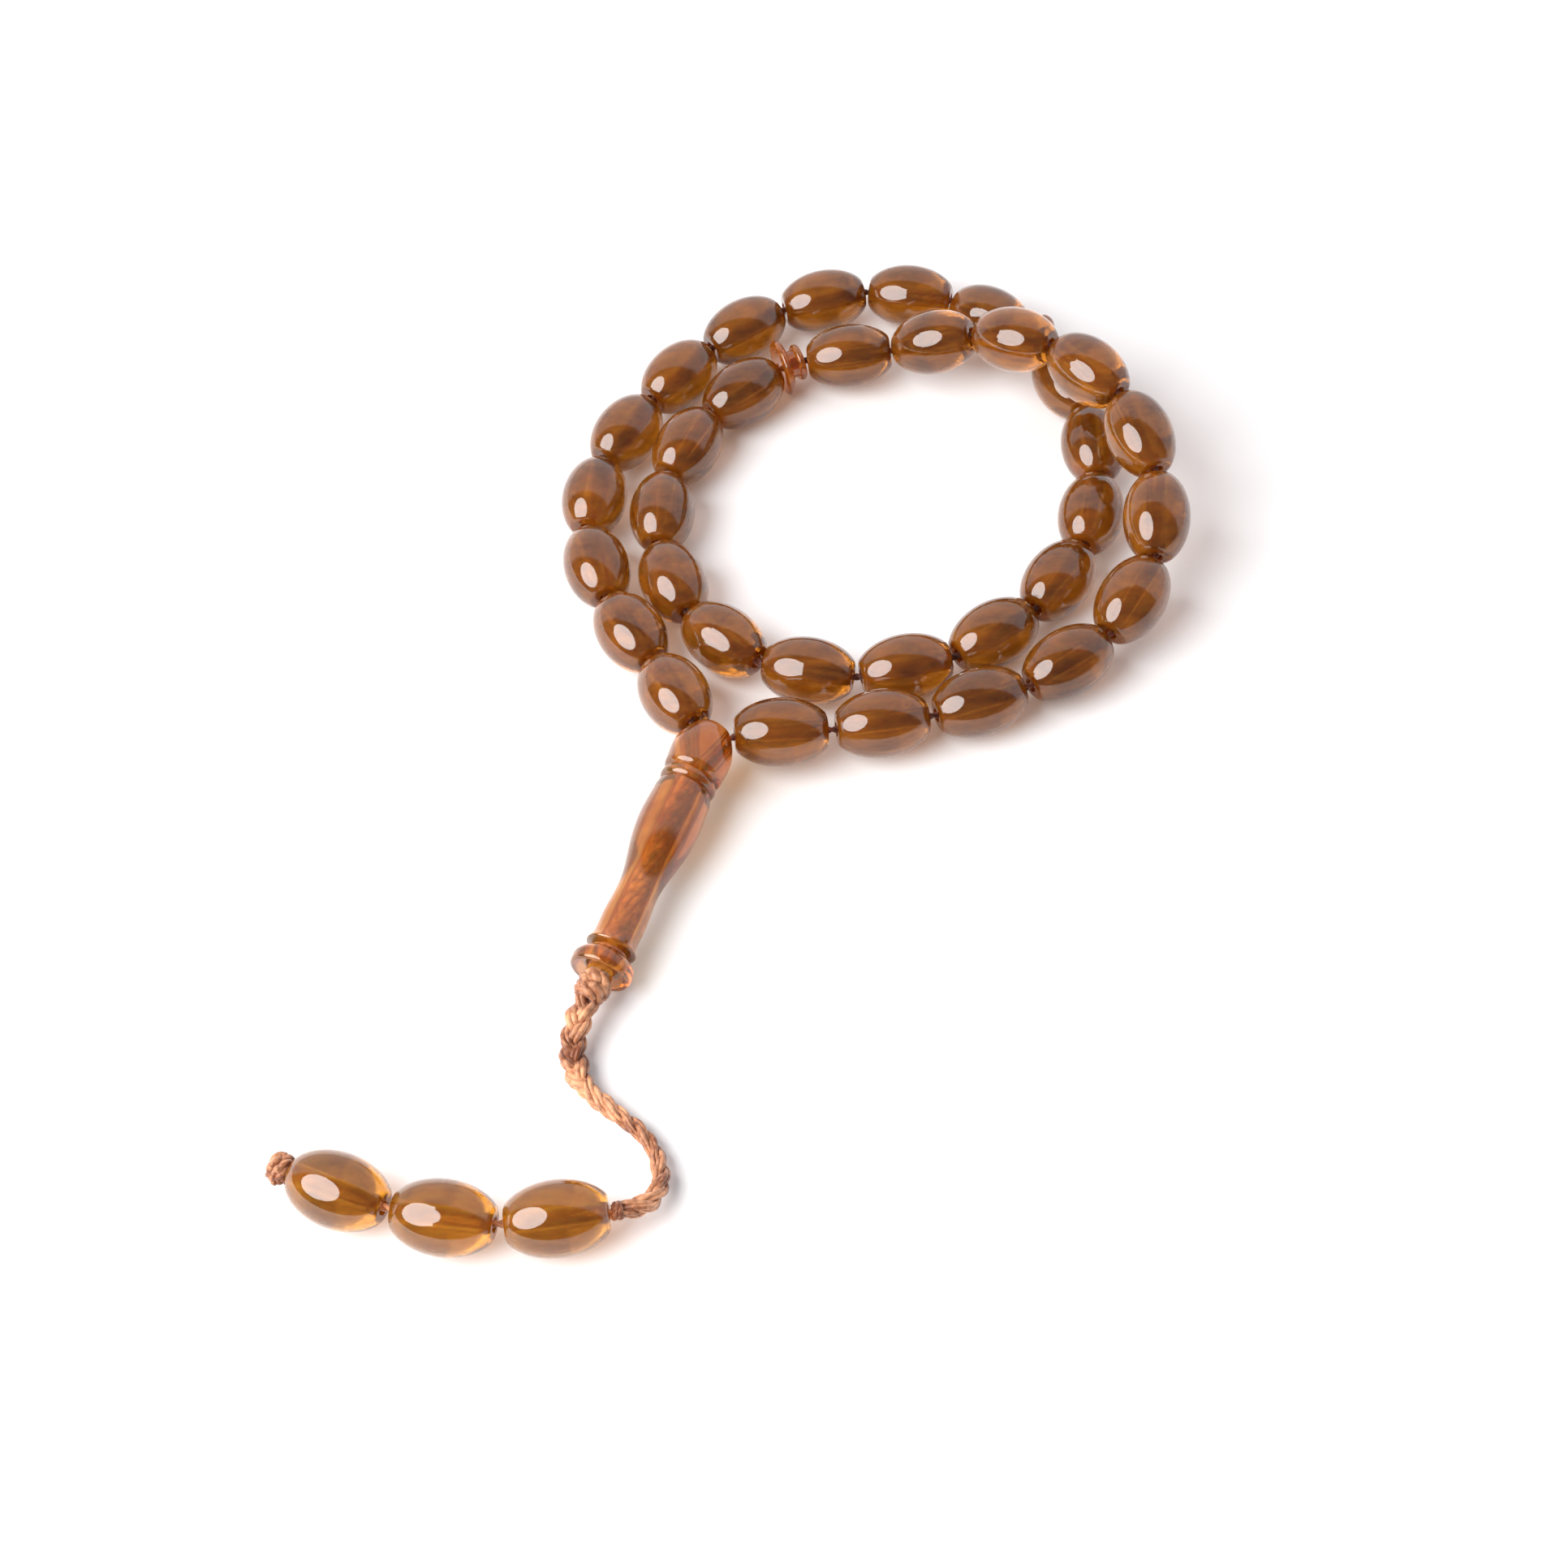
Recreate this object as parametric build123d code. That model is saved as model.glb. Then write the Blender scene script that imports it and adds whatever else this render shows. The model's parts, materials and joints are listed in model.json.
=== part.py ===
from build123d import *
import os
from math import cos, pi, radians, sin, tan

# Misbaha: 33 barrel beads and two dividers on one closed cord, a turned leader (imame) that takes
# both ends of that cord, and a short twisted tail with three more beads, ended by a knot.
# Millimetres, +Z up, the strand lying on the plane Z = 0. The tail hangs towards -Y.

os.makedirs("parts", exist_ok=True)

# ---------------------------------------------------------------- driving dimensions
BEAD_LENGTH = 10.95         # overall, flat end to flat end
BEAD_DIAMETER = 8.2         # at the belly
BARREL_HALF_AXIS = 6.15     # half-length of the ellipse that the barrel is cut from
BEAD_BORE = 1.6
END_ROUND = 1.0             # rim of each flat end
MOUTH_CHAMFER = 0.15        # countersink of each bore mouth
BEADS_BEFORE = 10           # leader to first divider
BEADS_BETWEEN = 12          # first divider to second divider
BEADS_AFTER = 11            # second divider back to the leader
TAIL_PITCH = 12.0

DIVIDER_LENGTH = 3.2
DIVIDER_RUN = 4.0           # room that a divider takes on the cord
DIVIDER_DISC_R = 3.7
DIVIDER_COLLAR_R = 2.4
DIVIDER_WAIST_R = 1.8

STRING_DIAMETER = 0.9       # the cord inside the beads
STRING_CLEARANCE = 0.05     # left between the bent cord and a bore
TAIL_DIAMETER = 2.3         # the thick twisted cord below the leader
CORE_DIAMETER = 3.0         # the cord inside the leader, doubled where it is spliced
LEADER_BORE = 3.2
LEADER_LENGTH = 35.0
LEADER_RADIUS = 3.7
HEAD_CENTRE = 3.9           # from the top of the head to the middle of its bulb
HEAD_HOLE_DIAMETER = 1.7
HEAD_HOLE_TILT = 14.5       # each string hole leans this far off the leader's axis
HEAD_HOLE_OFFSET = 0.55     # and starts this far beside it
HEAD_HOLE_RUN = 6.35        # from the top of the thick cord to just outside the head
CORE_TOP = 6.5              # how far below the top of the head the thick cord starts
FOOT_KNOT = (4.2, 3.4)      # diameter, length
END_KNOT = (3.8, 3.0)

AXIS_HEIGHT = BEAD_DIAMETER / 2
LEADER_HEADING = -114.3     # degrees in plan, from head to foot
LEADER_DIP = 3.3            # degrees by which it slopes down to its foot
LEADER_HEAD = (-7.8, -8.7, 5.5)  # middle of the head's bulb, held up by the first and last beads
RUN_SHARE = 0.45            # share of the shorter run that an arc takes
PLAN_SHIFT = Vector(0.43, -0.15)  # brings the middle of the beads' outline over the origin

# How the loop lies: x, y and the height of the cord above the resting height. It goes from the
# leader round the outer turn, crosses under itself at the far right, round the inner turn, climbs
# over the crossing and comes back along the front. The leader's own string holes give both ends.
STRAND_ROUTE = [
    (-12.5, 5.5, 0.4),
    (-19.5, 20.5, 0.0),
    (-20.0, 36.0, 0.0),
    (-12.5, 50.0, 0.0),
    (-1.0, 62.0, 0.0),
    (14.5, 68.2, 0.0),
    (28.5, 65.5, 0.0),
    (38.7, 57.0, 0.0),
    (43.6, 45.0, 0.0),
    (43.9, 31.0, 0.0),
    (38.0, 15.5, 0.0),
    (24.5, 4.5, 0.0),
    (9.5, 2.1, 0.0),
    (-3.8, 7.8, 0.0),
    (-11.0, 20.0, 0.0),
    (-11.0, 35.0, 0.0),
    (-4.5, 47.5, 0.0),
    (6.5, 55.8, 0.0),
    (19.5, 55.8, 0.8),
    (30.5, 52.4, 6.0),
    (39.5, 46.0, 9.2),
    (46.8, 36.5, 9.2),
    (50.0, 25.0, 6.6),
    (48.0, 13.0, 3.2),
    (40.5, 3.5, 0.9),
    (28.0, -2.7, 0.0),
    (12.5, -5.8, 0.4),
]

# The thick tail cord as x, y and height: it starts at the knot under the leader's foot, comes down
# to the surface and climbs to the bore of the first tail bead.
TAIL_ROUTE = [
    (-23.2, -42.6, 3.0),
    (-23.9, -45.3, 2.0),
    (-23.5, -48.2, 1.5),
    (-22.0, -50.7, 1.4),
    (-19.9, -52.9, 1.4),
    (-17.6, -55.0, 1.4),
    (-15.7, -57.3, 1.4),
    (-14.8, -60.0, 1.5),
    (-14.6, -62.6, 2.0),
    (-15.5, -64.9, 2.8),
    (-17.3, -66.3, 3.6),
    (-19.5, -66.6, 4.1),
]

# Plan headings of the three tail beads, in order from the tail cord
TAIL_HEADINGS = [-177.0, 166.0, 153.0]


# ---------------------------------------------------------------- shapes
def turned(profile):
    """A solid of revolution about X from a closed half profile."""
    return revolve(profile, Axis.X, 360)


def rod_along_x(radius, length):
    return Rot(0, 90, 0) * Cylinder(radius, length)


def make_bead():
    outline = Ellipse(BARREL_HALF_AXIS, BEAD_DIAMETER / 2)
    outline &= Pos(0, BEAD_DIAMETER / 4) * Rectangle(BEAD_LENGTH, BEAD_DIAMETER / 2)
    bead = turned(outline)
    rims = bead.edges().filter_by(GeomType.CIRCLE).sort_by(Axis.X)
    bead = fillet([rims[0], rims[-1]], END_ROUND)
    bead -= rod_along_x(BEAD_BORE / 2, BEAD_LENGTH + 1)
    mouths = bead.edges().filter_by(lambda e: e.geom_type == GeomType.CIRCLE
                                    and abs(e.radius - BEAD_BORE / 2) < 1e-3)
    return chamfer(mouths, MOUTH_CHAMFER)


def make_divider():
    """A thin disc, a waist and a small collar turned in one piece."""
    half = DIVIDER_LENGTH / 2
    disc_end = -half + 1.1
    collar_start = half - 0.9
    with BuildSketch() as section:
        with BuildLine():
            Polyline((-half, BEAD_BORE / 2), (-half, DIVIDER_DISC_R - 0.9))
            Spline((-half, DIVIDER_DISC_R - 0.9), (-half + 0.5, DIVIDER_DISC_R),
                   (disc_end, DIVIDER_DISC_R - 0.6), tangents=[(0, 1), (0.5, -1)])
            Polyline((disc_end, DIVIDER_DISC_R - 0.6), (disc_end + 0.3, DIVIDER_WAIST_R),
                     (collar_start, DIVIDER_WAIST_R), (collar_start, DIVIDER_COLLAR_R - 0.25))
            ThreePointArc((collar_start, DIVIDER_COLLAR_R - 0.25),
                          (collar_start + 0.45, DIVIDER_COLLAR_R),
                          (half, DIVIDER_COLLAR_R - 0.35))
            Polyline((half, DIVIDER_COLLAR_R - 0.35), (half, BEAD_BORE / 2),
                     (-half, BEAD_BORE / 2))
        make_face()
    return turned(section.sketch)


def make_leader():
    """Turned along +X from the top of the head at x = 0 to the foot at x = LEADER_LENGTH."""
    ring_start, ring_end = 7.5, 9.1
    groove_r = 2.9
    neck_start, neck_end = 32.0, 32.4
    neck_r = 2.1
    with BuildSketch() as section:
        with BuildLine():
            Line((0, 0), (0, 0.9))
            Spline((0, 0.9), (1.3, 2.75), (HEAD_CENTRE, LEADER_RADIUS - 0.05),
                   (6.4, LEADER_RADIUS - 0.15), (ring_start, groove_r),
                   tangents=[(0, 1), (0.6, -1)])
            ThreePointArc((ring_start, groove_r), ((ring_start + ring_end) / 2, 3.4),
                          (ring_end, groove_r))
            Spline((ring_end, groove_r), (10.6, 3.45), (13.5, LEADER_RADIUS - 0.05),
                   (18.0, 3.3), (23.1, 2.42), (28.3, 2.6), (31.2, 2.85), (neck_start, neck_r),
                   tangents=[(0.5, 1), (0.3, -1)])
            Line((neck_start, neck_r), (neck_end, neck_r))
            Spline((neck_end, neck_r), (32.9, 3.1), (33.7, 3.6), (34.4, 3.6),
                   (LEADER_LENGTH, 3.2), tangents=[(0.1, 1), (0.2, -1)])
            Polyline((LEADER_LENGTH, 3.2), (LEADER_LENGTH, 0), (0, 0))
        make_face()
    body = turned(section.sketch)
    bore_length = LEADER_LENGTH - CORE_TOP
    body -= Pos(CORE_TOP + bore_length / 2, 0, 0) * rod_along_x(LEADER_BORE / 2, bore_length)
    for side in (-1, 1):
        hole = Pos(-HEAD_HOLE_RUN / 2, 0, 0) * rod_along_x(HEAD_HOLE_DIAMETER / 2, HEAD_HOLE_RUN + 1)
        turn = Rot(0, 0, -side * HEAD_HOLE_TILT)
        body -= Pos(CORE_TOP, side * HEAD_HOLE_OFFSET, 0) * (turn * hole)
    return body


def make_knot(diameter, length):
    """A rounded lump with two flat faces that the cords meet."""
    outline = Ellipse(length * 0.55, diameter / 2)
    outline &= Pos(0, diameter / 4) * Rectangle(length, diameter / 2)
    return turned(outline)


def facing(centre, direction):
    """The place of a piece turned about X, put at centre with its X axis along direction."""
    axis = Vector(*direction).normalized()
    side = Vector(0, 0, 1).cross(axis).normalized()
    return Plane(origin=Vector(*centre), x_dir=axis, z_dir=axis.cross(side)).location


def level_heading(degrees):
    return Vector(cos(radians(degrees)), sin(radians(degrees)), 0)


def arc_radii(points, room=None):
    """One radius for each corner: RUN_SHARE of the shorter run, less where a bore gives less room."""
    radii = []
    for before, corner, after in zip(points, points[1:], points[2:]):
        half_turn = radians((corner - before).get_angle(after - corner)) / 2
        radius = RUN_SHARE * min((corner - before).length, (after - corner).length) / tan(half_turn)
        if room is not None:
            radius = min(radius, room / (1 / cos(half_turn) - 1))
        radii.append(radius)
    return radii


def make_cord(name, points, diameter, room=None):
    radii = arc_radii(points, room)
    path = FilletPolyline(*points, radius=radii)
    start = Plane(origin=points[0], z_dir=points[1] - points[0])
    tube = sweep(start * Circle(diameter / 2), path=path)
    expected = pi * diameter**2 / 4 * path.length
    print(f"{name}: length {path.length:.1f}, volume ratio {tube.volume / expected:.4f}, "
          f"tightest radius {min(radii):.1f}, longest run "
          f"{max((b - a).length for a, b in zip(points, points[1:])):.1f}")
    return tube


def save(shape, name, colour):
    solid = shape.solids()[0] if len(shape.solids()) == 1 else shape
    solid.label = name
    solid.color = Color(*colour)
    export_step(solid, f"parts/{name}.step")


AMBER = (0.55, 0.30, 0.10)
ORANGE = (0.72, 0.38, 0.15)
COPPER = (0.76, 0.50, 0.34)

# ---------------------------------------------------------------- the leader
leader_axis = level_heading(LEADER_HEADING) - Vector(0, 0, tan(radians(LEADER_DIP)))
leader_axis = leader_axis.normalized()
head_middle = Vector(*LEADER_HEAD) + PLAN_SHIFT
leader_top = head_middle - leader_axis * HEAD_CENTRE
leader_place = facing(leader_top, leader_axis)
save(leader_place * make_leader(), "leader", ORANGE)

core_length = LEADER_LENGTH - CORE_TOP
core = Pos(CORE_TOP + core_length / 2, 0, 0) * rod_along_x(CORE_DIAMETER / 2, core_length)
save(leader_place * core, "leader_core_cord", COPPER)

foot_knot = Pos(LEADER_LENGTH + FOOT_KNOT[1] / 2, 0, 0) * make_knot(*FOOT_KNOT)
save(leader_place * foot_knot, "foot_knot", COPPER)


def in_leader(along, across):
    """A point of the leader's own mid-plane, in the part's frame."""
    return (leader_place * Location((along, across, 0))).position


def string_end(side):
    """Where the string is spliced into the thick cord, and where it leaves the head."""
    lean = radians(HEAD_HOLE_TILT)
    splice = in_leader(CORE_TOP, side * HEAD_HOLE_OFFSET)
    mouth = in_leader(CORE_TOP - HEAD_HOLE_RUN * cos(lean),
                      side * (HEAD_HOLE_OFFSET + HEAD_HOLE_RUN * sin(lean)))
    return splice, mouth


# ---------------------------------------------------------------- the loop
first_splice, first_mouth = string_end(-1)
last_splice, last_mouth = string_end(1)
lying = [Vector(x, y, AXIS_HEIGHT + lift) + PLAN_SHIFT for x, y, lift in STRAND_ROUTE]
route = Spline(first_mouth, *lying, last_mouth)
bead_count = BEADS_BEFORE + BEADS_BETWEEN + BEADS_AFTER
pitch = (route.length - 2 * DIVIDER_RUN) / bead_count
print(f"loop: route {route.length:.1f}, bead pitch {pitch:.3f}, gap {pitch - BEAD_LENGTH:.2f}")


def on_route(distance):
    return route.position_at(distance / route.length)


# Knots of the string: one in each gap between beads and one in the middle of each divider
gap_points = [on_route(0)]
divider_corners = []
travelled = 0.0
for group, count in enumerate((BEADS_BEFORE, BEADS_BETWEEN, BEADS_AFTER)):
    for number in range(count):
        travelled += pitch
        last_in_group = number == count - 1
        if last_in_group and group < 2:
            divider_corners.append(len(gap_points))
            gap_points.append(on_route(travelled + DIVIDER_RUN / 2))
            travelled += DIVIDER_RUN
        else:
            gap_points.append(on_route(min(travelled, route.length)))

bead = make_bead()
bead_number = 0
centres = []
for index, (start, end) in enumerate(zip(gap_points, gap_points[1:])):
    bead_number += 1
    along = (end - start).normalized()
    lead = DIVIDER_RUN / 2 if index in divider_corners else 0.0
    trail = DIVIDER_RUN / 2 if index + 1 in divider_corners else 0.0
    centre = (start + along * lead + end - along * trail) / 2
    centres.append(centre)
    save(facing(centre, along) * bead, f"bead_{bead_number:02d}", AMBER)

room = (BEAD_BORE - STRING_DIAMETER) / 2 - STRING_CLEARANCE
divider = make_divider()
for number, corner in enumerate(divider_corners, start=1):
    before, middle, after = gap_points[corner - 1:corner + 2]
    bend_in = ((before - middle).normalized() + (after - middle).normalized()).normalized()
    through = ((middle - before).normalized() + (after - middle).normalized()).normalized()
    save(facing(middle + bend_in * room, through) * divider, f"divider_{number}", ORANGE)

whole_string = [first_splice] + gap_points + [last_splice]
save(make_cord("loop string", whole_string, STRING_DIAMETER, room), "loop_string", COPPER)

# ---------------------------------------------------------------- the tail
tail_points = [in_leader(LEADER_LENGTH + FOOT_KNOT[1], 0)]
tail_points += [Vector(*point) + PLAN_SHIFT for point in TAIL_ROUTE]
save(make_cord("tail cord", tail_points, TAIL_DIAMETER), "tail_cord", COPPER)

tail_mouth = tail_points[-1]
thread_points = [tail_mouth]
for number, heading in enumerate(TAIL_HEADINGS, start=1):
    along = level_heading(heading)
    centre = thread_points[-1] + along * TAIL_PITCH / 2
    thread_points.append(thread_points[-1] + along * TAIL_PITCH)
    save(facing(centre, along) * bead, f"tail_bead_{number}", AMBER)
save(make_cord("tail thread", thread_points, STRING_DIAMETER, room), "tail_thread", COPPER)
end_knot = Pos(END_KNOT[1] / 2, 0, 0) * make_knot(*END_KNOT)
save(facing(thread_points[-1], along) * end_knot, "end_knot", COPPER)
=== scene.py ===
"""A misbaha: glossy translucent barrel beads on a thread, two dividers, a turned leader with the
twisted cord showing inside it, and a twisted tail cord with three more beads."""
import json
import math
import random

import bpy
import numpy as np
from mathutils import Matrix, Vector


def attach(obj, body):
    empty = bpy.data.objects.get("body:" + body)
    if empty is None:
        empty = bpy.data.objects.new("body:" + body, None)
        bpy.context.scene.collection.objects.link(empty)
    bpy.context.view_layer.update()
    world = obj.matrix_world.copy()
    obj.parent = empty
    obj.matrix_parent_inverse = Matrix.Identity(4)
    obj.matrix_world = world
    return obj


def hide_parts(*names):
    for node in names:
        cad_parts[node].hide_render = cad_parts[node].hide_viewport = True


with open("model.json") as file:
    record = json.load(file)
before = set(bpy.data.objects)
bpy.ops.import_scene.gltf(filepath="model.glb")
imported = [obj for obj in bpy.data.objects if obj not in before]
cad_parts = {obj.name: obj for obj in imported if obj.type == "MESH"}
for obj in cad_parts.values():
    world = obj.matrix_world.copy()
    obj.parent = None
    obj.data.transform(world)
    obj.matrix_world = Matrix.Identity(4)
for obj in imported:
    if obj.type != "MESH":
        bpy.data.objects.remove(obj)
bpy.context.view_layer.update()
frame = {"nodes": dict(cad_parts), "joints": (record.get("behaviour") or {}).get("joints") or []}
scene = bpy.context.scene
ROOT = "cord_and_leader"
MM = 0.001

# ------------------------------------------------------------------ camera
TARGET = Vector((2.38, -15.20, 4.1)) * MM
DISTANCE = 308.1 * MM
ELEVATION = math.radians(53.28)
ROLL = math.radians(-4.52)
LENS = 61.35
SENSOR_WIDTH = 36.0
SHIFT = (-0.0034, 0.0089)
NEAREST = 10.0 * MM                 # what is closer to the camera than this isn't drawn

back = Vector((0, -math.cos(ELEVATION), math.sin(ELEVATION)))
camera_data = bpy.data.cameras.new("camera")
camera_data.lens = LENS
camera_data.sensor_width = SENSOR_WIDTH
camera_data.shift_x, camera_data.shift_y = SHIFT
camera_data.clip_start = NEAREST
camera = bpy.data.objects.new("camera", camera_data)
scene.collection.objects.link(camera)
camera.matrix_world = (Matrix.Translation(TARGET + back * DISTANCE)
                       @ Matrix.Rotation(math.pi / 2 - ELEVATION, 4, "X")
                       @ Matrix.Rotation(ROLL, 4, "Z"))
scene.camera = camera

# ------------------------------------------------------------------ dimensions of the CAD part
PLAN_SHIFT = Vector((0.43, -0.15, 0.0))
LOOP_BEADS = 33
BEAD_PITCH = 12.0 * MM
DIVIDER_RUN = 4.0 * MM
DIVIDER_AFTER = (10, 22)            # the dividers follow these beads
LEADER_HEADING = math.radians(-114.3)
LEADER_DIP = math.radians(3.3)
LEADER_HEAD = Vector((-7.37, -8.85, 5.5)) * MM
HEAD_CENTRE = 3.9 * MM              # from the top of the head to the middle of its bulb
LEADER_LENGTH = 35.0 * MM
CORE_TOP = 6.5 * MM                 # how far below the top of the head the thick cord starts
CORE_RADIUS = 1.5 * MM
HEAD_HOLE_OFFSET = 0.55 * MM        # each end of the thread meets the thick cord this far off axis
FOOT_KNOT_LENGTH = 3.4 * MM
TAIL_PITCH = 12.0 * MM
TAIL_BEADS = ("tail_bead_1", "tail_bead_2", "tail_bead_3")
TAIL_ROUTE = [
    (-23.2, -42.6, 3.0),
    (-23.9, -45.3, 2.0),
    (-23.5, -48.2, 1.5),
    (-22.0, -50.7, 1.4),
    (-19.9, -52.9, 1.4),
    (-17.6, -55.0, 1.4),
    (-15.7, -57.3, 1.4),
    (-14.8, -60.0, 1.5),
    (-14.6, -62.6, 2.0),
    (-15.5, -64.9, 2.8),
    (-17.3, -66.3, 3.6),
    (-19.5, -66.6, 4.1),
]

# ------------------------------------------------------------------ looks of the cords
SPLINE_RESOLUTION = 24
OUTWARD = 0.2                       # how far the thread's corners stand out, as a share of their height
THREAD_STEP = 0.25 * MM             # from one ring of points to the next
TAIL_THREAD_STEP = 0.2 * MM
ROPE_STEP = 0.12 * MM
ROPE_SIDES = 7                      # faces round each bundle of fibres
STRAND_SHARE = 0.52                 # a strand's radius, as a share of the rope's
FIBRES = 4                          # bundles of fibres in a strand
FIBRE_SPREAD = 0.55                 # how far they lie from its middle, as a share of its radius
FIBRE_SHARE = (0.44, 0.56)          # least and most of a bundle's radius, likewise
FIBRE_PITCH = -2.2                  # the bundles' pitch as a multiple of the rope's, laid the other way
SWELL = 0.13                        # how much a strand swells and thins along its length
SWELL_RUN = (0.9, 1.5)              # least and most of the run of a swell, in millimetres a radian
# The tail cord's radius in millimetres at these shares of its length, most below the foot knot
TAIL_RADIUS_AT = [0.0, 0.2, 0.4, 0.62, 0.8, 0.95, 1.0]
TAIL_RADII = [1.40, 1.45, 1.10, 0.92, 1.08, 1.15, 0.85]
# It is plaited at first, and turns into a twist between the last two of these shares
PLAIT_AT = [0.0, 0.28, 0.42]
PLAIT = [1.0, 1.0, 0.0]
TAIL_ROPE_PITCH = 7.2 * MM
CORE_ROPE_PITCH = 6.0 * MM
CORE_PLAIT = 0.35
END_KNOT_LENGTH = 2.1 * MM
SPLICE_KNOT_SET_BACK = 0.3 * MM     # from the end of the tail cord


# ------------------------------------------------------------------ materials
class Shader:
    """A node material with a Principled surface and short calls for its texture nodes."""

    def __init__(self, name):
        self.material = bpy.data.materials.new(name)
        self.material.use_nodes = True
        self.nodes = self.material.node_tree.nodes
        self.links = self.material.node_tree.links
        self.surface = self.nodes["Principled BSDF"]
        self.output = self.nodes["Material Output"]

    def add(self, kind, inputs=None, **settings):
        node = self.nodes.new(kind)
        for key, value in settings.items():
            setattr(node, key, value)
        for key, value in (inputs or {}).items():
            if isinstance(value, bpy.types.NodeSocket):
                self.links.new(value, node.inputs[key])
            else:
                node.inputs[key].default_value = value
        return node

    def ramp(self, factor, stops):
        node = self.add("ShaderNodeValToRGB", {"Fac": factor})
        for element, (position, colour) in zip(node.color_ramp.elements, stops):
            element.position = position
            element.color = (*colour, 1.0)
        return node.outputs["Color"]

    def place(self):
        return self.add("ShaderNodeTexCoord").outputs["Object"]

    def noise(self, vector, scale, detail=4.0, roughness=0.5):
        return self.add("ShaderNodeTexNoise", {"Vector": vector, "Scale": scale, "Detail": detail,
                                               "Roughness": roughness}).outputs["Fac"]

    def bump(self, height, strength, distance):
        node = self.add("ShaderNodeBump", {"Height": height, "Strength": strength,
                                           "Distance": distance})
        return node.outputs["Normal"]

    def set(self, **values):
        for key, value in values.items():
            socket = self.surface.inputs[key.replace("_", " ")]
            if isinstance(value, bpy.types.NodeSocket):
                self.links.new(value, socket)
            else:
                socket.default_value = value


def cloudy_colour(shader, place, dark, bright):
    """Soft clouds mixed half and half with flow lines that are drawn out at a slant."""
    cloud = shader.noise(place, scale=150.0, detail=3.0, roughness=0.55)
    drawn_out = shader.add("ShaderNodeMapping", {"Vector": place, "Scale": (90.0, 260.0, 500.0),
                                                 "Rotation": (0.3, 0.2, 0.6)})
    flow = shader.noise(drawn_out.outputs["Vector"], scale=2.0, detail=4.0, roughness=0.6)
    both = shader.add("ShaderNodeMath", {0: cloud, 1: flow}, operation="ADD")
    mean = shader.add("ShaderNodeMath", {0: both.outputs["Value"], 1: 0.5}, operation="MULTIPLY")
    return shader.ramp(mean.outputs["Value"], [(0.36, dark), (0.64, bright)])


def resin(name, dark, bright, transmission, shadow_tint, depth_colour=None):
    """Polished cast resin: cloudy colour, a slightly uneven polish and a tinted shadow. With a
    depth_colour it is clear enough to see into, and that is the colour its depth takes."""
    shader = Shader(name)
    place = shader.place()
    polish = shader.add("ShaderNodeMapRange", {"Value": shader.noise(place, scale=900.0),
                                               "To Min": 0.01, "To Max": 0.05})
    ripple = shader.noise(place, scale=220.0, detail=2.0)
    shader.set(Base_Color=cloudy_colour(shader, place, dark, bright),
               Roughness=polish.outputs["Result"],
               Normal=shader.bump(ripple, strength=0.06, distance=0.2 * MM))
    shader.set(IOR=1.55, Transmission_Weight=transmission, Coat_Weight=0.45, Coat_Roughness=0.01)
    shader.set(Subsurface_Weight=1.0, Subsurface_Scale=4.0 * MM, Subsurface_Radius=(1.0, 0.4, 0.08))

    tint = shader.add("ShaderNodeBsdfTransparent", {"Color": (*shadow_tint, 1.0)})
    light_path = shader.add("ShaderNodeLightPath")
    mix = shader.add("ShaderNodeMixShader", {0: light_path.outputs["Is Shadow Ray"],
                                             1: shader.surface.outputs["BSDF"],
                                             2: tint.outputs["BSDF"]})
    shader.links.new(mix.outputs["Shader"], shader.output.inputs["Surface"])
    if depth_colour:
        depth = shader.add("ShaderNodeVolumeAbsorption", {"Color": (*depth_colour, 1.0),
                                                          "Density": 400.0})
        shader.links.new(depth.outputs["Volume"], shader.output.inputs["Volume"])
    return shader.material


def silk(name, dark, bright):
    """Silky fibres that run along a strand: fine streaks, broad fading and a soft sheen."""
    shader = Shader(name)
    place = shader.place()
    strand = shader.add("ShaderNodeUVMap", uv_map="along").outputs["UV"]
    stretched = shader.add("ShaderNodeMapping", {"Vector": strand, "Scale": (1.0, 0.45, 1.0)})
    streaks = shader.noise(stretched.outputs["Vector"], scale=2.4, detail=4.0, roughness=0.6)
    fading = shader.noise(place, scale=240.0, detail=2.0)
    both = shader.add("ShaderNodeMath", {0: streaks, 1: fading, 2: 0.22}, operation="MULTIPLY_ADD")
    colour = shader.ramp(both.outputs["Value"], [(0.38, dark), (0.56, bright)])
    shader.set(Base_Color=colour, Roughness=0.42,
               Normal=shader.bump(streaks, strength=0.5, distance=0.1 * MM))
    shader.set(Sheen_Weight=0.35, Sheen_Roughness=0.4, Specular_IOR_Level=0.45)
    return shader.material


BEAD_RESIN = resin("bead_resin", (0.17, 0.056, 0.006), (0.45, 0.160, 0.013), 0.66,
                   (0.42, 0.36, 0.34))
TAIL_RESIN = resin("tail_bead_resin", (0.26, 0.100, 0.006), (0.52, 0.220, 0.018), 0.68,
                   (0.48, 0.40, 0.36))
LEADER_RESIN = resin("leader_resin", (0.46, 0.18, 0.028), (0.74, 0.38, 0.08), 0.87,
                     (0.66, 0.72, 0.84), depth_colour=(0.84, 0.60, 0.10))
DIVIDER_RESIN = resin("divider_resin", (0.42, 0.12, 0.01), (0.74, 0.26, 0.035), 0.80,
                      (0.50, 0.42, 0.38))
CORD_SILK = silk("copper_silk", (0.18, 0.045, 0.012), (0.72, 0.34, 0.17))
CORE_SILK = silk("leader_cord_silk", (0.30, 0.12, 0.05), (0.95, 0.80, 0.62))
THREAD_SILK = silk("dark_thread", (0.035, 0.008, 0.006), (0.20, 0.05, 0.025))


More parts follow.
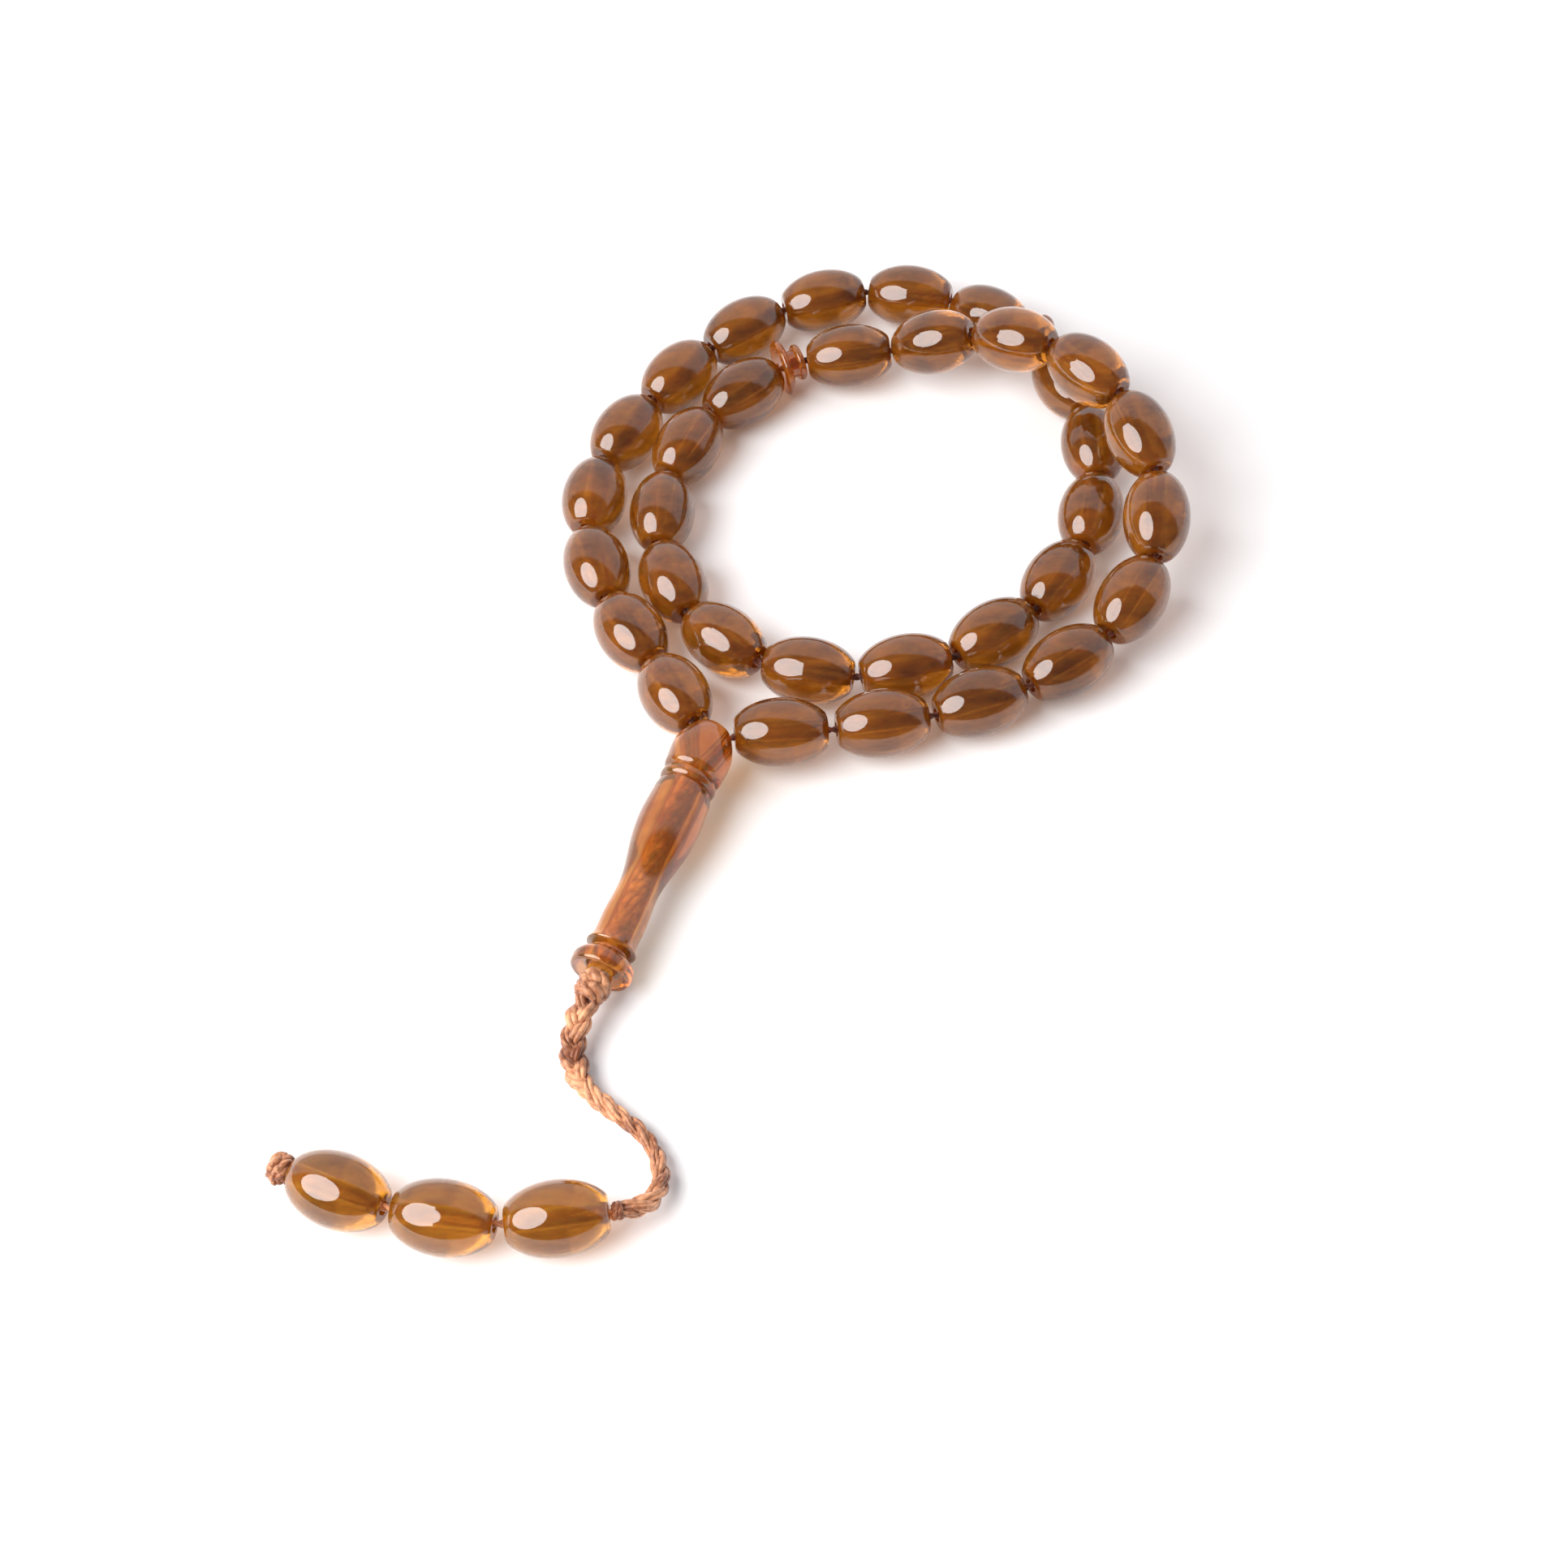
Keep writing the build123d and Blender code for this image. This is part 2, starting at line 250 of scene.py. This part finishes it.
# ------------------------------------------------------------------ lines
def spline_points(name, route):
    """The smooth line through a route, read back from its NURBS spline."""
    curve = bpy.data.curves.new(name, "CURVE")
    curve.dimensions = "3D"
    spline = curve.splines.new("NURBS")
    spline.points.add(len(route) - 1)
    for point, place in zip(spline.points, route):
        point.co = (*place, 1.0)
    spline.order_u = 3
    spline.use_endpoint_u = True
    spline.resolution_u = SPLINE_RESOLUTION
    holder = bpy.data.objects.new(name, curve)
    scene.collection.objects.link(holder)
    bpy.context.view_layer.update()
    line = bpy.data.meshes.new_from_object(
        holder.evaluated_get(bpy.context.evaluated_depsgraph_get()))
    points = np.array([v.co for v in line.vertices])
    bpy.data.objects.remove(holder)
    return points


def travelled(points):
    steps = np.linalg.norm(np.diff(points, axis=0), axis=1)
    return np.concatenate([[0.0], np.cumsum(steps)])


def evenly(points, step):
    """The same line with its points one step apart."""
    along = travelled(points)
    wanted = np.linspace(0.0, along[-1], max(2, int(along[-1] / step) + 1))
    return np.stack([np.interp(wanted, along, points[:, axis]) for axis in range(3)], axis=1)


def carried_frames(points):
    """A pair of sideways directions that follows the line without twisting."""
    ahead = np.gradient(points, axis=0)
    ahead /= np.linalg.norm(ahead, axis=1)[:, None]
    first = np.cross(ahead[0], (0.0, 0.0, 1.0))
    if np.linalg.norm(first) < 0.1:
        first = np.cross(ahead[0], (1.0, 0.0, 0.0))
    sides = [first / np.linalg.norm(first)]
    for direction in ahead[1:]:
        side = sides[-1] - direction * np.dot(sides[-1], direction)
        sides.append(side / np.linalg.norm(side))
    sides = np.array(sides)
    return sides, np.cross(ahead, sides)


def laid_strands(points, count, spread, pitch, start_angle=0.0):
    """The centre lines of strands laid round a line, one full turn each pitch."""
    side, up = carried_frames(points)
    along = travelled(points)
    spread = np.broadcast_to(spread, len(points))[:, None]
    lines = []
    for strand in range(count):
        angle = 2 * math.pi * (along / pitch + strand / count) + start_angle
        lines.append(points + spread * (np.cos(angle)[:, None] * side
                                        + np.sin(angle)[:, None] * up))
    return lines


def plaited_strands(points, spread, pitch, plait):
    """Three strands that pass over each other in a plait, or lie as a twist where plait is 0."""
    plait_width, plait_depth = 1.25, 0.75
    side, up = carried_frames(points)
    along = travelled(points)
    lines = []
    for strand in range(3):
        angle = 2 * math.pi * (along / pitch + strand / 3)
        across = (1 - plait) * np.cos(angle) + plait * plait_width * np.sin(angle)
        over = (1 - plait) * np.sin(angle) + plait * plait_depth * np.sin(2 * angle)
        lines.append(points + (spread * across)[:, None] * side + (spread * over)[:, None] * up)
    return lines


# ------------------------------------------------------------------ meshes
def tube_mesh(name, lines, radii, sides):
    """One mesh of several tubes, each with a radius per point and fibres' UVs along it."""
    uv_apart = 2.7              # each tube shows another stretch of the fibres' noise
    vertices, faces, uvs = [], [], []
    turn = np.linspace(0.0, 2 * math.pi, sides, endpoint=False)
    for tube, (line, radius) in enumerate(zip(lines, radii)):
        base = len(vertices)
        side, up = carried_frames(line)
        along = travelled(line)
        count = len(line)
        for index in range(count):
            ring = (line[index] + radius[index] * (np.cos(turn)[:, None] * side[index]
                                                   + np.sin(turn)[:, None] * up[index]))
            vertices.extend(ring.tolist())
        for index in range(count - 1):
            for k in range(sides):
                a, b = base + index * sides + k, base + index * sides + (k + 1) % sides
                faces.append((a, b, b + sides, a + sides))
                u0, u1 = uv_apart * tube + k / sides, uv_apart * tube + (k + 1) / sides
                v0, v1 = along[index] / MM, along[index + 1] / MM
                uvs.extend([(u0, v0), (u1, v0), (u1, v1), (u0, v1)])
        for ring_start, order in ((base, -1), (base + (count - 1) * sides, 1)):
            faces.append(tuple(ring_start + k for k in range(sides))[::order])
            uvs.extend([(0.0, 0.0)] * sides)
    mesh = bpy.data.meshes.new(name)
    mesh.from_pydata(vertices, [], faces)
    layer = mesh.uv_layers.new(name="along")
    layer.data.foreach_set("uv", np.array(uvs).ravel())
    mesh.polygons.foreach_set("use_smooth", [True] * len(mesh.polygons))
    mesh.update()
    return mesh


def thread_mesh(name, points, spread, ply_radius, pitch, sides):
    """A thread of two plies."""
    plies = laid_strands(points, 2, spread, pitch)
    return tube_mesh(name, plies, [np.full(len(ply), ply_radius) for ply in plies], sides)


def rope_mesh(name, points, radius, pitch, plait, seed):
    """A rope of three uneven strands, each a bundle of soft fibres with a slow twist of its own."""
    maker = random.Random(seed)
    along = travelled(points)
    plait = np.broadcast_to(plait, len(points))
    strand_radius = radius * STRAND_SHARE
    lines, thicknesses = [], []
    for strand in plaited_strands(points, radius - strand_radius, pitch, plait):
        start = maker.uniform(0.0, 2 * math.pi)
        swell = 1.0 + SWELL * np.sin(along / maker.uniform(*SWELL_RUN) / MM + start)
        spread = strand_radius * FIBRE_SPREAD * swell
        for line in laid_strands(strand, FIBRES, spread, pitch * FIBRE_PITCH, start):
            lines.append(line)
            thicknesses.append(strand_radius * swell * maker.uniform(*FIBRE_SHARE))
    return tube_mesh(name, lines, thicknesses, ROPE_SIDES)


def knot_mesh(name, centre, ahead, length, diameter, turns, tufts, seed):
    """A tied knot: cord wound over itself in a lump at changing slants, with short cut tufts."""
    maker = random.Random(seed)
    side = Vector((0, 0, 1)).cross(ahead).normalized()
    up = ahead.cross(side)
    cord_radius = diameter * 0.19
    wound_length = length * 0.75
    steepest = length * 0.28                # slant of a turn
    taper, slimmest = 1.5, 0.1              # the lump narrows towards its ends, within a limit
    steps_a_turn, ring_points = 38, 40      # each ring laps over its own start
    tuft_depth, tuft_points = diameter * 0.34, 7
    lines, radii = [], []
    for turn in range(turns):
        share = (turn + 0.5) / turns - 0.5
        slant = maker.uniform(-0.5, 0.5) * steepest
        swell = math.sqrt(max(slimmest, 1.0 - (share * taper) ** 2))
        out = (diameter / 2 * swell - cord_radius) * maker.uniform(0.9, 1.08)
        ring = []
        for step in range(ring_points):
            angle = 2 * math.pi * step / steps_a_turn + turn
            place = (centre + ahead * (share * wound_length + slant * math.sin(angle))
                     + (side * math.cos(angle) + up * math.sin(angle)) * out)
            ring.append(place[:])
        for bundle in laid_strands(np.array(ring), 3, cord_radius * 0.5, diameter * 0.9,
                                   maker.uniform(0, 6)):
            lines.append(bundle)
            radii.append(np.full(len(bundle), cord_radius * maker.uniform(0.5, 0.72)))
    for tuft in range(tufts):
        angle = 2 * math.pi * tuft / tufts + maker.uniform(-0.4, 0.4)
        away = side * math.cos(angle) + up * math.sin(angle)
        reach = diameter * maker.uniform(0.06, 0.13)
        root = centre + away * tuft_depth + ahead * length * maker.uniform(-0.3, 0.25)
        bend = (ahead * maker.uniform(-0.2, 0.9) + away).normalized()
        shares = [step / (tuft_points - 1) for step in range(tuft_points)]
        line = [(root + away * reach * 0.5 * share + bend * reach * share ** 2)[:]
                for share in shares]
        lines.append(np.array(line))
        radii.append(cord_radius * np.linspace(0.7, 0.45, tuft_points))
    return tube_mesh(name, lines, radii, ROPE_SIDES)


def add_piece(name, mesh, material, replaces=()):
    """A piece that rides with the leader and the cords."""
    piece = bpy.data.objects.new(name, mesh)
    scene.collection.objects.link(piece)
    piece.data.materials.append(material)
    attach(piece, ROOT)
    if replaces:
        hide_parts(*replaces)
    return piece


# ------------------------------------------------------------------ where the cords meet the part
joints = {joint["name"]: joint for joint in frame["joints"]}


def seat(node):
    """The middle of a bead's or divider's bore, and its direction."""
    joint = joints[node + "_turn"]
    return Vector(joint["pos_m"]), Vector(joint["axis"]).normalized()


def bores_meet(node, following, reach):
    (centre, axis), (next_centre, next_axis) = seat(node), seat(following)
    return (centre + axis * reach + next_centre - next_axis * reach) / 2


leader_axis = Vector((math.cos(LEADER_HEADING), math.sin(LEADER_HEADING), -math.tan(LEADER_DIP)))
leader_axis.normalize()
leader_side = Vector((0, 0, 1)).cross(leader_axis).normalized()
leader_top = LEADER_HEAD - leader_axis * HEAD_CENTRE
core_top = leader_top + leader_axis * CORE_TOP
leader_foot = leader_top + leader_axis * LEADER_LENGTH
foot_knot_end = leader_top + leader_axis * (LEADER_LENGTH + FOOT_KNOT_LENGTH)


# ------------------------------------------------------------------ the loop's thread
def loop_route():
    """A corner in each gap between neighbours, where their bores meet, and a point in the middle of
    each bead, because a bore holds the taut thread straight. Both ends go into the leader's head."""
    beads = [f"bead_{number:02d}" for number in range(1, LOOP_BEADS + 1)]
    first_centre, first_axis = seat(beads[0])
    last_centre, last_axis = seat(beads[-1])
    route = [core_top - leader_side * HEAD_HOLE_OFFSET, first_centre - first_axis * BEAD_PITCH / 2]
    for number, (node, following) in enumerate(zip(beads, beads[1:]), start=1):
        reach = (BEAD_PITCH + DIVIDER_RUN) / 2 if number in DIVIDER_AFTER else BEAD_PITCH / 2
        route += [seat(node)[0], bores_meet(node, following, reach)]
    route += [last_centre, last_centre + last_axis * BEAD_PITCH / 2,
              core_top + leader_side * HEAD_HOLE_OFFSET]
    # The smooth line cuts inside its corners, so they stand out a little to keep it in the bores
    for index in range(1, len(route) - 1, 2):
        chord_middle = (route[index - 1] + route[index + 1]) / 2
        route[index] = route[index].lerp(chord_middle, -OUTWARD)
    return route


thread_route = loop_route()
thread_line = evenly(spline_points("loop_route", thread_route), THREAD_STEP)
loop_thread = add_piece("loop_thread", thread_mesh(
    "loop_thread", thread_line, spread=0.21 * MM, ply_radius=0.24 * MM, pitch=2.2 * MM, sides=6),
    THREAD_SILK, replaces=["loop_string"])

# ------------------------------------------------------------------ the tail
# The thick cord, from the knot under the leader's foot to the first tail bead
tail_route = [foot_knot_end] + [(Vector(point) + PLAN_SHIFT) * MM for point in TAIL_ROUTE]
tail_line = evenly(spline_points("tail_route", tail_route), ROPE_STEP)
tail_length = travelled(tail_line)[-1]
tail_share = travelled(tail_line) / tail_length
tail_radius = np.interp(tail_share, TAIL_RADIUS_AT, TAIL_RADII) * MM
tail_plait = np.interp(tail_share, PLAIT_AT, PLAIT)
tail_rope = add_piece("tail_rope", rope_mesh(
    "tail_rope", tail_line, tail_radius, TAIL_ROPE_PITCH, tail_plait, seed=1),
    CORD_SILK, replaces=["tail_cord"])

# The thread through the tail beads
tail_thread_route = [tail_route[-1]]
for node in TAIL_BEADS:
    centre, axis = seat(node)
    tail_thread_route += [centre, centre + axis * TAIL_PITCH / 2]
tail_thread_line = evenly(spline_points("tail_thread_route", tail_thread_route), TAIL_THREAD_STEP)
tail_thread = add_piece("tail_bead_thread", thread_mesh(
    "tail_bead_thread", tail_thread_line, spread=0.22 * MM, ply_radius=0.26 * MM, pitch=2.6 * MM,
    sides=7), CORD_SILK, replaces=["tail_thread"])

# The knots
foot_knot = add_piece("foot_knot_wraps", knot_mesh(
    "foot_knot_wraps", leader_top + leader_axis * (LEADER_LENGTH + FOOT_KNOT_LENGTH / 2),
    leader_axis, FOOT_KNOT_LENGTH, diameter=4.0 * MM, turns=4, tufts=6, seed=3),
    CORD_SILK, replaces=["foot_knot"])
end_axis = seat(TAIL_BEADS[-1])[1]
end_knot = add_piece("end_knot_wraps", knot_mesh(
    "end_knot_wraps", tail_thread_route[-1] + end_axis * END_KNOT_LENGTH / 2,
    end_axis, END_KNOT_LENGTH, diameter=3.7 * MM, turns=3, tufts=5, seed=8),
    CORD_SILK, replaces=["end_knot"])
splice_axis = seat(TAIL_BEADS[0])[1]
splice_knot = add_piece("splice_knot_wraps", knot_mesh(
    "splice_knot_wraps", tail_thread_route[0] - splice_axis * SPLICE_KNOT_SET_BACK,
    splice_axis, 1.3 * MM, diameter=2.1 * MM, turns=2, tufts=3, seed=5),
    CORD_SILK)

# ------------------------------------------------------------------ the cord inside the leader
core_line = evenly(np.array([core_top[:], leader_foot[:]]), ROPE_STEP)
core_radius = np.full(len(core_line), CORE_RADIUS)
add_piece("leader_core_rope", rope_mesh(
    "leader_core_rope", core_line, core_radius, CORE_ROPE_PITCH, CORE_PLAIT, seed=5),
    CORE_SILK, replaces=["leader_core_cord"])

# ------------------------------------------------------------------ resin on the carried-over pieces
for node, obj in frame["nodes"].items():
    if node.startswith("bead_"):
        material = BEAD_RESIN
    elif node in TAIL_BEADS:
        material = TAIL_RESIN
    elif node.startswith("divider"):
        material = DIVIDER_RESIN
    elif node == "leader":
        material = LEADER_RESIN
    else:
        continue
    obj.data.materials.clear()
    obj.data.materials.append(material)

# ------------------------------------------------------------------ studio
FLOOR_REACH = 3.0
FLOOR_DROP = 0.05 * MM              # keeps the floor clear of the beads that rest on Z = 0
BRIGHT_SIDE = Vector((0.3, 0.95, -0.1)).normalized()
SKY_DARK = (0.16, 0.155, 0.155, 1.0)
SKY_BRIGHT = (0.95, 0.96, 1.0, 1.0)
SKY_EDGE = (0.02, 0.12)             # how far towards the bright side the sky turns bright


def lay_floor():
    mesh = bpy.data.meshes.new("studio_floor")
    mesh.from_pydata([(-FLOOR_REACH, -FLOOR_REACH, 0), (FLOOR_REACH, -FLOOR_REACH, 0),
                      (FLOOR_REACH, FLOOR_REACH, 0), (-FLOOR_REACH, FLOOR_REACH, 0)],
                     [], [(0, 1, 2, 3)])
    floor = bpy.data.objects.new("studio_floor", mesh)
    floor.location.z = -FLOOR_DROP
    scene.collection.objects.link(floor)
    paper = Shader("pale_paper")
    paper.set(Base_Color=(0.93, 0.93, 0.935, 1.0), Roughness=0.9)
    mesh.materials.append(paper.material)


def light_sky():
    """A studio that is bright behind and to the right, and dark in front."""
    world = bpy.data.worlds.new("studio")
    scene.world = world
    world.use_nodes = True
    sky = world.node_tree
    direction = sky.nodes.new("ShaderNodeTexCoord")
    facing = sky.nodes.new("ShaderNodeVectorMath")
    facing.operation = "DOT_PRODUCT"
    facing.inputs[1].default_value = BRIGHT_SIDE
    edge = sky.nodes.new("ShaderNodeValToRGB")
    for element, position, colour in zip(edge.color_ramp.elements, SKY_EDGE,
                                         (SKY_DARK, SKY_BRIGHT)):
        element.position = position
        element.color = colour
    sky.links.new(direction.outputs["Generated"], facing.inputs[0])
    sky.links.new(facing.outputs["Value"], edge.inputs["Fac"])
    sky.links.new(edge.outputs["Color"], sky.nodes["Background"].inputs["Color"])


def add_softbox(name, place, width, power, colour):
    """A round softbox that faces the target, at a place given from it."""
    light = bpy.data.lights.new(name, "AREA")
    light.shape = "ELLIPSE"
    light.size = light.size_y = width
    light.energy = power
    light.color = colour
    lamp = bpy.data.objects.new(name, light)
    lamp.location = TARGET + Vector(place)
    lamp.rotation_mode = "QUATERNION"
    lamp.rotation_quaternion = (-Vector(place)).to_track_quat("-Z", "Y")
    scene.collection.objects.link(lamp)


lay_floor()
light_sky()
add_softbox("key_softbox", place=(-0.34, -0.14, 0.34), width=0.54, power=5.4,
            colour=(1.0, 0.975, 0.965))
scene.view_settings.view_transform = "Standard"
